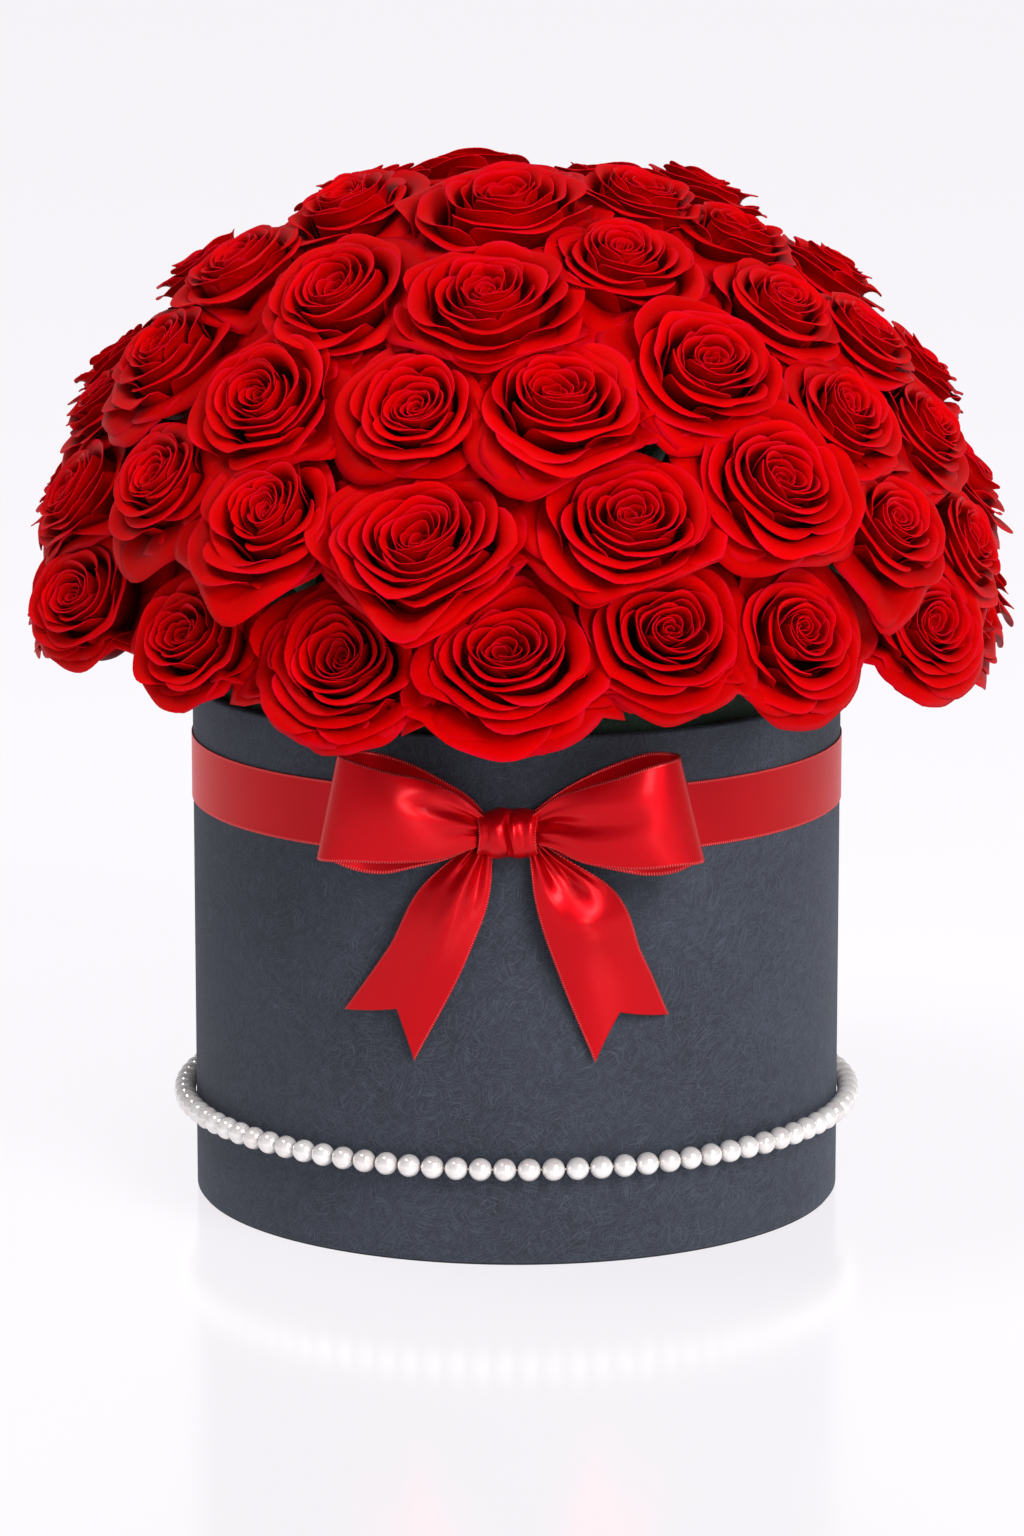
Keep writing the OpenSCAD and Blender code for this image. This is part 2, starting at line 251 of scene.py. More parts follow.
def wrap_look():
    """Dark nubuck-like paper with paler fibres that cross in all directions."""
    look = Look("wrap", Specular_IOR_Level=0.25, Sheen_Weight=0.12, Sheen_Roughness=0.45)
    look.put(look.shader.inputs["Sheen Tint"], (0.62, 0.72, 0.9))
    wall = round_wall(look, WALL * MM)
    hairs = fibre_layer(look, wall, 20, 0.3, 0.018, 2600)
    for turn, seed, bend, fine in ((80, 1.7, 0.020, 2400), (-30, 4.1, 0.018, 2600),
                                   (130, 7.9, 0.020, 2800)):
        hairs = look.math("MAXIMUM", hairs, fibre_layer(look, wall, turn, seed, bend, fine))
    cloud = look.noise(wall, 18, 4, 0.55)
    nap = look.noise(wall, 1400, 2, 0.7)
    ground = look.ramp(cloud, (0.3, (0.021, 0.0235, 0.033)), (0.7, (0.040, 0.046, 0.063)))
    ground = look.mix(look.levels(nap, 0.3, 0.7, 0, 0.5), ground, (0.017, 0.019, 0.027))
    colour = look.mix(look.math("MULTIPLY", hairs, 0.5), ground, (0.098, 0.117, 0.158))
    height = look.math("ADD", look.math("MULTIPLY", hairs, 0.7), nap)
    return look.finish(Base_Color=colour, Roughness=look.levels(cloud, 0.3, 0.7, 0.66, 0.78),
                       Normal=look.bump(height, 0.10))


def satin_look(name, colour, half_width):
    """Satin woven on the bias, with a stitched selvage at each edge whose stitches carry painted
    pink glints.
    """
    look = Look(name, Metallic=0.65, Specular_IOR_Level=0.5, Anisotropic=0.5,
                Anisotropic_Rotation=0.25, Coat_Weight=0.18, Coat_Roughness=0.22)
    look.put(look.shader.inputs["Specular Tint"], (1.0, 0.08, 0.10))
    look.put(look.shader.inputs["Coat Tint"], (1.0, 0.9, 0.9))
    look.put(look.shader.inputs["Tangent"],
             look.add("Tangent", {}, direction_type="UV_MAP", uv_map="UVMap"))
    uv = look.uv()
    weave = look.noise(look.scaled(uv, (700, 4200, 1), 28), 1, 2, 0.6)
    threads = look.noise(look.scaled(uv, (250, 3000, 1)), 1, 2, 0.5)
    slow = look.noise(uv, 60, 3, 0.5)
    across = look.add("SeparateXYZ", {0: uv})
    along, side, _ = across.node.outputs
    edge = look.levels(look.math("ABSOLUTE", side), half_width - 0.0011, half_width - 0.0006)
    stitch_and_glint = look.math("SINE", look.math("MULTIPLY", along, 2 * math.pi / 0.00095))
    stitch_and_glint = look.math("MULTIPLY", edge, look.levels(stitch_and_glint, 0.0, 0.9))
    shade = look.mix(look.levels(weave, 0.3, 0.7, 0, 0.35), colour,
                     tuple(0.6 * c for c in colour))
    shade = look.mix(look.levels(slow, 0.35, 0.7, 0, 0.2), shade, (0.62, 0.002, 0.010))
    # Painted highlight: the stitches along each edge are painted light pink as glints; they are
    # raised in the bump as well.
    shade = look.mix(look.math("MULTIPLY", stitch_and_glint, 0.9), shade, (0.92, 0.15, 0.15))
    height = look.math("ADD", look.math("MULTIPLY", weave, 0.5),
                       look.math("ADD", threads, look.math("MULTIPLY", stitch_and_glint, 2.5)))
    return look.finish(Base_Color=shade, Roughness=look.levels(threads, 0.2, 0.8, 0.30, 0.40),
                       Normal=look.bump(height, 0.045))


def pearl_look():
    """Cream nacre with a slow swirl, and a tone of its own for each pearl."""
    look = Look("pearl", Metallic=0.35, Specular_IOR_Level=0.6, Coat_Weight=0.8,
                Coat_Roughness=0.12)
    place = look.place()
    swirl = look.noise(place, 220, 3, 0.55, 0.4)
    lustre = look.ramp(swirl, (0.3, (0.84, 0.80, 0.79)), (0.55, (0.94, 0.92, 0.90)),
                       (0.75, (0.88, 0.86, 0.87)))
    tone = look.ramp(look.attribute("tone"), (0, (0.93, 0.90, 0.89)), (1, (1.0, 1.0, 1.0)))
    return look.finish(Base_Color=look.mix(1.0, lustre, tone, "MULTIPLY"),
                       Roughness=look.levels(swirl, 0.3, 0.7, 0.16, 0.26),
                       Normal=look.bump(look.noise(place, 1500, 2), 0.01))


def grained_look(name, dark, light, scale, rough, depth):
    """A matt or plastic material with two tones, a grain and uneven roughness."""
    look = Look(name)
    place = look.place()
    slow, grain = look.noise(place, scale / 12, 3), look.noise(place, scale, 4, 0.65)
    both = look.math("ADD", look.math("MULTIPLY", slow, 0.4), look.math("MULTIPLY", grain, 0.6))
    return look.finish(Base_Color=look.ramp(both, (0.3, dark), (0.7, light)),
                       Roughness=look.levels(grain, 0.3, 0.7, rough - 0.06, rough + 0.06),
                       Normal=look.bump(grain, depth))


def foam_look():
    """Wet floral foam: fine pores and a few pin holes."""
    look = Look("foam")
    place = look.place()
    pores = look.add("TexVoronoi", {"Vector": place, "Scale": 900.0}, "Distance")
    slow = look.noise(place, 45, 3)
    colour = look.ramp(slow, (0.3, (0.008, 0.022, 0.011)), (0.7, (0.014, 0.036, 0.018)))
    colour = look.mix(look.levels(pores, 0.0, 0.45, 0.6, 0), colour, (0.004, 0.012, 0.006))
    return look.finish(Base_Color=colour, Roughness=look.levels(pores, 0, 0.6, 0.95, 0.8),
                       Normal=look.bump(pores, 0.5))


def floor_look():
    """An evenly lit pale sheet with a faint blurred reflection on top."""
    look = Look("floor", Specular_IOR_Level=0, Roughness=1, Emission_Strength=FLOOR_GLOW)
    look.put(look.shader.inputs["Emission Color"], (0.99, 0.965, 1.0))
    veil = look.noise(look.place(), 3, 2)
    material = look.finish(Base_Color=look.ramp(veil, (0.3, (0.13, 0.128, 0.133)),
                                                (0.7, (0.14, 0.138, 0.143))))
    share = look.math("MINIMUM", look.add("Fresnel", {"IOR": 1.5}), 0.3)
    shine = look.add("BsdfGlossy", {"Color": share,
                                    "Roughness": look.levels(veil, 0.3, 0.7, 0.14, 0.17)})
    both = look.add("AddShader", {0: look.shader.outputs[0], 1: shine})
    look.tree.links.new(both, look.tree.nodes["Material Output"].inputs["Surface"])
    return material


PETAL = petal_look()
WRAP = wrap_look()
BOW = satin_look("ribbon_bow", (0.60, 0.001, 0.006), RIBBON_HALF * MM)
BAND = satin_look("ribbon_band", (0.52, 0.001, 0.006), BAND_HALF * MM)
PEARL = pearl_look()
GREEN = grained_look("stem", (0.008, 0.024, 0.006), (0.021, 0.056, 0.012), 700, 0.5, 0.15)


# ---------------------------------------------------------------- meshes

def grid_faces(rows, cols, start=0, closed=False):
    """Quads of a grid of points; a closed grid joins its last column to its first."""
    span = cols if closed else cols - 1
    row, col = np.meshgrid(np.arange(rows - 1), np.arange(span), indexing="ij")
    here, beside = row * cols + col, row * cols + (col + 1) % cols
    return start + np.stack([here, beside, beside + cols, here + cols], -1).reshape(-1, 4)


def make_mesh(name, points, faces, material, uv=None, attributes=None):
    """A smooth mesh in metres from points in millimetres and quads."""
    mesh = bpy.data.meshes.new(name)
    mesh.vertices.add(len(points))
    mesh.vertices.foreach_set("co", (points * MM).astype(np.float32).ravel())
    mesh.loops.add(faces.size)
    mesh.loops.foreach_set("vertex_index", faces.astype(np.int32).ravel())
    mesh.polygons.add(len(faces))
    mesh.polygons.foreach_set("loop_start", np.arange(0, faces.size, 4, dtype=np.int32))
    mesh.update(calc_edges=True)
    mesh.polygons.foreach_set("use_smooth", np.ones(len(faces), bool))
    if uv is not None:
        layer = mesh.uv_layers.new(name="UVMap")
        layer.data.foreach_set("uv", (uv[faces.ravel()] * MM).astype(np.float32).ravel())
    for key, values in (attributes or {}).items():
        mesh.attributes.new(key, "FLOAT", "POINT").data.foreach_set(
            "value", values.astype(np.float32))
    mesh.validate()
    mesh.materials.append(material)
    return mesh


def make_piece(name, mesh, body, nodes, thickness=0.0):
    """Puts a mesh in the scene as a piece that rides on a body and stands for CAD nodes."""
    piece = bpy.data.objects.new(name, mesh)
    SCENE.collection.objects.link(piece)
    if thickness:
        shell = piece.modifiers.new("thickness", "SOLIDIFY")
        shell.thickness = thickness * MM
        shell.offset = 0
    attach(piece, body)
    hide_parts(*nodes)
    return piece


class Shape:
    """Grids of points gathered into one mesh."""

    def __init__(self):
        self.points, self.faces, self.uv, self.count = [], [], [], 0
        self.attributes = {}

    def add(self, grid, uv=None, closed=False, **attributes):
        rows, cols = grid.shape[:2]
        self.points.append(grid.reshape(-1, 3))
        self.faces.append(grid_faces(rows, cols, self.count, closed))
        self.uv.append(np.zeros((rows * cols, 2)) if uv is None else uv.reshape(-1, 2))
        for key, values in attributes.items():
            values = np.broadcast_to(values, (rows, cols)).ravel()
            self.attributes.setdefault(key, []).append(values)
        self.count += rows * cols

    def mesh(self, name, material):
        joined = {key: np.concatenate(values) for key, values in self.attributes.items()}
        return make_mesh(name, np.concatenate(self.points), np.concatenate(self.faces),
                         material, np.concatenate(self.uv), joined)


def unit(vector):
    return vector / np.linalg.norm(vector)


def eased(x):
    """A share from 0 to 1 that starts and ends gently."""
    return x * x * (3 - 2 * x)


def frame_along(axis):
    """A turning matrix whose third column is the axis and whose second points mostly up."""
    side = np.cross([0, 0, 1], axis)
    side = unit(side) if np.linalg.norm(side) > 0.05 else np.array([1.0, 0, 0])
    return np.stack([side, np.cross(axis, side), axis], 1)


def smooth_curve(knots, t):
    """A smooth line through (place, value) pairs, read at t."""
    place, value = np.array(knots, float).T
    slope = np.gradient(value, place)
    i = np.clip(np.searchsorted(place, t, "right") - 1, 0, len(place) - 2)
    step = place[i + 1] - place[i]
    x = np.clip((t - place[i]) / step, 0, 1)
    return ((2 * x ** 3 - 3 * x ** 2 + 1) * value[i] + (3 * x ** 2 - 2 * x ** 3) * value[i + 1]
            + step * ((x ** 3 - 2 * x ** 2 + x) * slope[i] + (x ** 3 - x ** 2) * slope[i + 1]))


def solids_of(node):
    """The points of each separate solid in a CAD node, in millimetres."""
    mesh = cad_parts[node].data
    co = np.zeros(len(mesh.vertices) * 3, np.float32)
    mesh.vertices.foreach_get("co", co)
    points, same = np.unique(np.round(co.reshape(-1, 3) / MM, 4), axis=0, return_inverse=True)
    edges = np.zeros(len(mesh.edges) * 2, np.int32)
    mesh.edges.foreach_get("vertices", edges)
    a, b = same.ravel()[edges.reshape(-1, 2)].T
    group = np.arange(len(points))
    while True:
        lower = np.minimum(group[a], group[b])
        before = group.copy()
        np.minimum.at(group, a, lower)
        np.minimum.at(group, b, lower)
        group = group[group]
        if (group == before).all():
            break
    return [points[group == g].astype(float) for g in np.unique(group)]


# ---------------------------------------------------------------- roses

class Rose:
    """Where one bloom sits: its face, its axis and its depth, read from its CAD solid."""

    def __init__(self, node, points):
        centre = points.mean(0)
        spread, axes = np.linalg.eigh(np.cov((points - centre).T))
        odd = 0 if spread[1] - spread[0] > spread[2] - spread[1] else 2
        axis = axes[:, odd] * np.sign(axes[:, odd] @ (centre - FOCUS))
        along = points @ axis
        self.node = node
        self.face = points[along.argmax()]
        self.base = points[along < along.min() + 0.05].mean(0)
        self.axis = unit(self.face - self.base)
        self.depth = np.linalg.norm(self.face - self.base)
        self.radius = (self.depth - DEPTH_LEAST) / DEPTH_SHARE / 2
        self.scale = self.radius / DRAWN_RADIUS
        self.middle = self.face - 0.3 * self.depth * self.axis
        self.turn = frame_along(self.axis)
        self.azimuth = math.degrees(math.atan2(self.axis[0], -self.axis[1]))

    def cell(self, others):
        """The planes between this bloom and its neighbours, in its own frame."""
        planes = []
        for other in others:
            gap = other.middle - self.middle
            far = np.linalg.norm(gap)
            if other is self or far > 1.35 * (self.radius + other.radius):
                continue
            share = self.radius / (self.radius + other.radius)
            point = self.middle + gap * share
            ray = unit(point - FOCUS)
            normal = unit(gap - (gap @ ray) * ray)
            planes.append((point + PRESS * normal, normal))
        if not planes:
            return np.zeros((0, 3)), np.zeros((0, 3))
        points, normals = (np.array(x) for x in zip(*planes))
        return (points - self.face) @ self.turn, normals @ self.turn


def room_around(rose, planes, angle, height):
    """How far the neighbours let a petal reach in a direction, as a share of the radius.

    It is a soft minimum over the neighbours' planes, so a petal has no crease where two meet.
    """
    way = np.stack([np.cos(angle), np.sin(angle)], -1)
    power = 8  # the higher, the more closely the nearest plane alone counts
    inverse = np.full(angle.shape, 1e-4)
    for point, normal in zip(*planes):
        gap = point @ normal - height * normal[2]
        facing = way @ normal[:2]
        near = np.where(facing > 0.03, gap / np.maximum(facing, 0.03), 1e3) / rose.radius
        inverse = inverse + np.maximum(near, 0.3) ** -power
    return inverse ** (-1 / power)


def pressed(grid, rose, planes, widest, free, droop):
    """Squeezes a petal into the room that the neighbours leave, or lets it fill that room.

    It spreads up to the widest share of the radius between neighbours, and only up to the
    free share below the lowest row, where nothing is beside it.
    """
    flat = np.hypot(grid[..., 0], grid[..., 1]) + 1e-6
    angle, height = np.arctan2(grid[..., 1], grid[..., 0]), grid[..., 2]
    room = room_around(rose, planes, angle, height)
    beside = [room_around(rose, planes, angle + math.radians(a), height) for a in (-24, 24)]
    alone = np.clip((np.maximum(room, np.maximum(*beside)) - 1.8) / 0.6, 0, 1)
    alone = eased(alone) * np.clip(0.3 - 2 * np.sin(angle), 0, 1)
    if "row_1" not in rose.node:
        alone = 0
    share = np.clip(room, 0.5, widest * (1 - alone) + free * alone)
    reach = np.clip(flat / rose.radius, 0, 1)
    grid[..., :2] *= (1 - (1 - share) * reach)[..., None]
    grid[..., 2] -= droop * rose.radius * np.clip(share - 1, 0, 1) * reach ** 2
    return grid


def from_table(t, *pairs):
    """A value at t between (place, value) pairs, along straight lines."""
    return float(np.interp(t, [p[0] for p in pairs], [p[1] for p in pairs]))


def soft_noise(rng, count, width):
    """Random numbers along a line, smoothed over some neighbours."""
    kernel = np.hanning(width + 2)[1:-1]
    values = rng.normal(0, 1, count + width - 1)
    return np.convolve(values, kernel / np.sqrt((kernel ** 2).sum()), "valid")


def petal(rng, t, theta, rose, style):
    """One petal; t runs from 0 at the heart to 1 outside. The bloom's face is at z = 0."""
    k = rose.scale
    cols, rows = (15, 11) if t < 0.35 else (21, 14) if t < 0.7 else (27, 16)
    lip = from_table(t, (0, 1), (0.3, 1.7), (0.55, 3.2), (0.8, 7.4), (1, 11)) * k
    lip *= rng.uniform(0.9, 1.1)
    curl = from_table(t, (0, 10), (0.3, 32), (0.55, 58), (0.8, 90), (1, 112))
    curl = math.radians(curl) * style["open"] * rng.uniform(0.88, 1.12)
    rho = from_table(t, (0, 1.3), (0.2, 3.9), (0.3, 5.6 + style["well"]), (0.45, 9.2),
                     (0.6, 12.9), (0.8, 17.3), (1, 21.2)) * k
    alpha = from_table(t, (0, 125), (0.2, 108), (0.5, 92), (0.8, 84), (1, 78))
    alpha = math.radians(alpha) * rng.uniform(0.88, 1.12)
    drop = from_table(t, (0, 1.5), (0.3, 3.5), (0.6, 6.5), (1, 12)) * rng.uniform(0.7, 1.3) * k
    slope = from_table(t, (0, 0.9), (0.4, 1.4), (1, 1.7)) * k
    top = from_table(t, (0, -5 - style["sink"]), (0.1, -3.4 - 0.8 * style["sink"]),
                     (0.25, -1.6 - 0.3 * style["sink"]), (0.42, 0), (0.65, -1.6), (0.8, -4.6),
                     (0.9, -7), (1, -11)) * k + rng.uniform(-0.7, 0.7) * k
    bend = curl / lip
    shoulder = top - math.sin(min(curl, math.pi / 2)) / bend
    narrow = 1 + 5 * t
    bottom = min(-rose.depth + 3 if t > 0.6 else -0.45 * rose.depth, shoulder - 8)
    height = shoulder - bottom
    u = np.linspace(-1, 1, cols)[None, :]
    q = np.linspace(0, 1, rows)[:, None]
    side = np.abs(u)
    point = rng.uniform(0.1, 1.0) * (0.35 + 0.5 * t) * k
    point = point * np.exp(-((u - rng.uniform(-0.4, 0.4)) / rng.uniform(0.16, 0.30)) ** 2)
    edge = (0.15 + 0.40 * t) * k * np.sin(u * rng.uniform(4, 8) + rng.uniform(0, 6))
    edge = edge + 0.22 * t * t * k * soft_noise(rng, cols, 4)[None, :]
    end = lip * (1 - side ** (4 + 2.5 * t)) - drop * side ** (4.5 + 2.5 * t) + edge + point
    s = -height + (end + height) * (1 - (1 - q) ** 1.7)
    angle = theta + u * alpha
    warp = (0.3 + t) * k * np.sin(2 * angle + rng.uniform(0, 6))
    warp = warp + 0.35 * t * k * np.sin(5 * angle + rng.uniform(0, 6))
    rho = np.maximum(rho + slope * u + warp, 0.6)
    below = np.clip(-s, 0, None)
    x = np.clip(below / height, 0, 1)
    r = narrow * x + (rho - narrow * x) * (1 - x ** 2.4) ** 0.6
    above = np.clip(s, 0, None)
    turn = bend * (1 - 0.3 * side ** 2)
    r = r + (1 - np.cos(turn * above)) / turn
    z = np.where(s < 0, shoulder - below, shoulder + np.sin(turn * above) / turn)
    near_rim = np.clip((s - end) / (6 * k) + 1, 0, 1) ** 2
    ripple = near_rim * (0.15 + 0.60 * t) * k * np.sin(u * rng.uniform(5, 9) + rng.uniform(0, 6))
    z = z + ripple + near_rim * 0.2 * t * k * soft_noise(rng, cols, 4)[None, :]
    r = np.maximum(r + 0.4 * ripple, 0.2)
    grid = np.stack([r * np.cos(angle), r * np.sin(angle), z], -1)
    # Where the pink rim highlight is painted, and how strong the painted shade is further down the
    # petal.
    facts = {"rim": np.exp(-((s - end) / (0.8 * k)) ** 2),
             "deep": np.clip((end - s) / (15 * k), 0, 1)}
    uv = np.stack([u * alpha * (6 + 18 * t) * k + 0 * s, s + 0 * u], -1)
    return grid, uv, facts


def cup_line(rose, v, reach=1.0):
    """Radius and height of the outermost petals, from the calyx at v = 0 to their rim at 1."""
    r = 6 + (rose.radius * reach - 6) * v ** 0.9
    z = 4 - rose.depth + (rose.depth - rose.radius / 2) * (1 - np.clip(1 - v, 0, 1) ** 2.2)
    return r, z


def guard_petal(rng, theta, rose):
    """An outermost petal that lies back and fills the room between neighbours."""
    k, radius = rose.scale, rose.radius
    cols, rows = 23, 12
    u = np.linspace(-1, 1, cols)[None, :]
    q = np.linspace(0, 1, rows)[:, None]
    side = np.abs(u)
    alpha = math.radians(62) * rng.uniform(0.9, 1.12)
    v = q * (1 - 0.22 * side ** 3 + 0.012 * soft_noise(rng, cols, 3)[None, :])
    r, z = cup_line(rose, v, rng.uniform(0.97, 1.06))
    r = r * (1 - 0.04 * side ** 2)
    z = z - 40 * k * np.clip(v - 0.75, 0, 1) ** 2
    z = z + k * v ** 2 * np.sin(u * rng.uniform(4, 8) + rng.uniform(0, 6))
    angle = theta + u * alpha
    grid = np.stack([r * np.cos(angle), r * np.sin(angle), z + 0 * r], -1)
    # As in a petal: where the pink rim highlight is painted, and painted shade that grows towards
    # the calyx.
    facts = {"rim": np.exp(-((1 - q) / 0.045) ** 2) + 0 * r,
             "deep": np.clip(0.12 + 0.95 * (1 - v), 0, 1) + 0 * r}
    uv = np.stack([u * alpha * radius + 0 * r, v * radius + 0 * r], -1)
    return grid, uv, facts


def rose_shape(rose, planes, seed):
    """A whole bloom: petals from the heart outwards, then the guard petals and the core."""
    rng = np.random.default_rng(seed)
    count = int(round(20 + 0.13 * 2 * rose.radius)) + int(rng.integers(-2, 3))
    style = {"open": rng.uniform(0.88, 1.12), "well": rng.uniform(-0.3, 1.6),
             "sink": rng.uniform(-1, 4.5)}
    heart, squash = rng.uniform(0, math.pi), rng.uniform(0.1, 0.3)
    shift = rng.uniform(-2.2, 2.2, 2) * rose.scale
    start = rng.uniform(0, 2 * math.pi)
    # The lowest row hangs further on the right than on the left.
    hang = 1.07 + 0.12 * math.sin(math.radians(rose.azimuth))
    shape = Shape()
    guards = 7
    for i in range(count + guards):
        t = min(i / (count - 1), 1)
        if i < count:
            theta = start + i * GOLDEN + rng.normal(0, 0.16)
            grid, uv, facts = petal(rng, t, theta, rose, style)
            tilt = rng.normal(0, math.radians(1.2 + 1.6 * t))
        else:
            theta = start + (i - count) * 2 * math.pi / guards + rng.normal(0, 0.15)
            grid, uv, facts = guard_petal(rng, theta, rose)
            tilt = rng.normal(0, math.radians(3))
        away = grid[..., 0] * math.cos(theta) + grid[..., 1] * math.sin(theta)
        grid[..., 2] -= math.tan(tilt) * away
        inner = np.exp(-(np.hypot(grid[..., 0], grid[..., 1]) / (0.5 * rose.radius)) ** 2)
        c, s = math.cos(heart), math.sin(heart)
        a = (grid[..., 0] * c + grid[..., 1] * s) * (1 - squash * inner)
        b = (grid[..., 1] * c - grid[..., 0] * s) * (1 + 0.08 * inner)
        grid[..., 0] = a * c - b * s + shift[0] * inner
        grid[..., 1] = a * s + b * c + shift[1] * inner
        widest, free, droop = (1.1, 1.02, 0.3) if i < count else (1.85, hang, 0.7)
        grid = pressed(grid, rose, planes, widest, free, droop)
        shape.add(grid, uv + rng.uniform(-400, 400, 2), tone=rng.uniform(0, 1), **facts)
    add_heart(shape, rose, shift)
    shape.points = [points @ rose.turn.T + rose.face for points in shape.points]
    return shape


def add_heart(shape, rose, shift):
    """The closed core that the petals grow from."""
    k = rose.scale
    profile = np.array([[0.05, -13 * k], [4 * k, -14 * k], [8 * k, -19 * k], [8.5 * k, -26 * k],
                        [6.5, -rose.depth + 3], [5, -rose.depth + 1], [0.05, -rose.depth + 1]])
    angle = np.linspace(0, 2 * math.pi, 20, endpoint=False)[None, :]
    r, z = profile[:, :1], profile[:, 1:]
    fade = np.clip(1 + z / (22 * k), 0, 1)
    grid = np.stack([r * np.cos(angle) + shift[0] * fade, r * np.sin(angle) + shift[1] * fade,
                     z + 0 * angle], -1)
    # The core gets no painted highlight and is painted in full shade, near black.
    shape.add(grid, closed=True, tone=0.0, rim=0.0, deep=1.0)


def add_roses():
    names = sorted(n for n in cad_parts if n.startswith("roses_"))
    roses = [Rose(name, points) for name in names for points in solids_of(name)]
    order = {}
    for number, rose in enumerate(roses):
        planes = rose.cell(roses)
        order[rose.node] = order.get(rose.node, 0) + 1
        name = rose.node.replace("roses", "rose") + f"_{order[rose.node]}"
        mesh = rose_shape(rose, planes, 100 + number).mesh(name, PETAL)
        make_piece(name, mesh, "insert", [rose.node], thickness=0.35)
    return roses


# ---------------------------------------------------------------- stems

def lathe(profile, segments, turn, origin):
    """A grid turned from (radius, height) pairs round the third axis of a frame."""
    angle = np.linspace(0, 2 * math.pi, segments, endpoint=False)[None, :]
    r, z = np.array(profile, float)[:, :1], np.array(profile, float)[:, 1:]
    grid = np.stack([r * np.cos(angle), r * np.sin(angle), z + 0 * angle], -1)
    return grid @ turn.T + origin


def sepal(rose, theta, rng):
    """One of the five green leaves that hold the bloom from below."""
    reach, half = rng.uniform(0.36, 0.48), rng.uniform(3.2, 4.2)
    q = np.linspace(0, 1, 10)[:, None]
    u = np.linspace(-1, 1, 5)[None, :]
    width = half * np.sin(math.pi * (0.18 + 0.82 * q)) ** 0.8
    r, z = cup_line(rose, reach * q)
    r, z = r + 1.2, z - 4.5 + 0.06 * (u * width) ** 2
    c, s = math.cos(theta), math.sin(theta)
    return np.stack([r * c - u * width * s, r * s + u * width * c, z + 0 * u], -1)


def add_stems(roses):
    """Each group of stems becomes smooth cut stems with a hip and sepals under each bloom."""
    for node in sorted(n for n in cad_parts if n.startswith("stems_")):
        shape = Shape()
        rng = np.random.default_rng(len(node) + len(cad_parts))
        own = [r for r in roses if r.node == node.replace("stems", "roses")]
        cut = solids_of(node)
        for rose in own:
            mine = min(cut, key=lambda p: np.linalg.norm(p - rose.base, axis=1).min())
            far = np.linalg.norm(mine - rose.base, axis=1)
            end = mine[far > far.max() - 3].mean(0)
            neck = rose.base - 10 * rose.axis
            run = neck - end
            length = np.linalg.norm(run)
            turn = frame_along(run / length)
            stem = [[0.05, 0], [2.8, 0.2]] + [[2.9 + 0.12 * math.sin(z), z]
                                              for z in np.linspace(1, length, 9)]
            shape.add(lathe(stem + [[0.05, length + 1]], 14, turn, end), closed=True)
            hip = [[0.05, -12.5], [2.8, -11.8], [3.3, -9], [5.6, -6.5], [7.4, -3.2],
                   [7.2, -0.8], [6.2, 0.6], [0.05, 1]]
            shape.add(lathe(hip, 18, rose.turn, rose.base), closed=True)
            for i in range(5):
                leaf = sepal(rose, i * 2 * math.pi / 5 + rng.normal(0, 0.15), rng)
                shape.add(leaf @ rose.turn.T + rose.face)
        make_piece(node.replace("stems", "stalks"), shape.mesh(node + "_mesh", GREEN), "insert",
                   [node])


# ---------------------------------------------------------------- box

def wall_angles():
    """Angles round the box from the back, closer together at the seam there."""
    steps = np.linspace(0, 2 * math.pi, 256, endpoint=False)[1:]
    close = [gap / WALL for gap in (0.25, 0.5, 1.0, 2.0)]
    return np.sort(np.concatenate([[0], steps, close, [2 * math.pi - s for s in close]]))


def corner(r, z, size, start, steps=5):
    """Points of a rounded corner about (r, z), from a start angle in degrees."""
    angles = np.radians(start + np.linspace(0, 90, steps))
    return [[r + size * math.cos(a), z + size * math.sin(a)] for a in angles]


def add_wrap():
    """The covering paper with rounded edges and a butt seam up the back."""
    low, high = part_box("outer_wrap")
    radius, base, top = high.x / MM, low.z / MM, high.z / MM
    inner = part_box("wall_lining")[1].x / MM - 0.8
    sheet, rim_turn, base_turn = 0.8, 16, 14
    outline = [[radius - base_turn, base + sheet], [radius - base_turn, base]]
    outline += corner(radius - 0.9, base + 0.9, 0.9, -90)
    outline += [[radius, z] for z in np.linspace(base + 8, top - 8, 12)]
    outline += corner(radius - 1.2, top - 1.2, 1.2, 0)
    outline += corner(inner + 1.0, top - 1.0, 1.0, 90)
    outline += [[inner, top - rim_turn], [inner + sheet, top - rim_turn],
                [inner + sheet, top - sheet - 0.2], [radius - sheet, top - sheet - 0.2],
                [radius - sheet, base + sheet], [radius - base_turn, base + sheet]]
    r, z = np.array(outline)[:, :1], np.array(outline)[:, 1:]
    angle = wall_angles()[None, :]
    gap = np.minimum(angle, 2 * math.pi - angle) * WALL
    groove = 0.35 * np.exp(-(gap / 0.45) ** 2) * (r > inner + 2)
    grid = np.stack([(r - groove) * np.sin(angle), (r - groove) * np.cos(angle),
                     z + 0 * angle], -1)
    shape = Shape()
    shape.add(grid, closed=True)
    make_piece("wrap_paper", shape.mesh("wrap_paper", WRAP), "box", ["outer_wrap"])


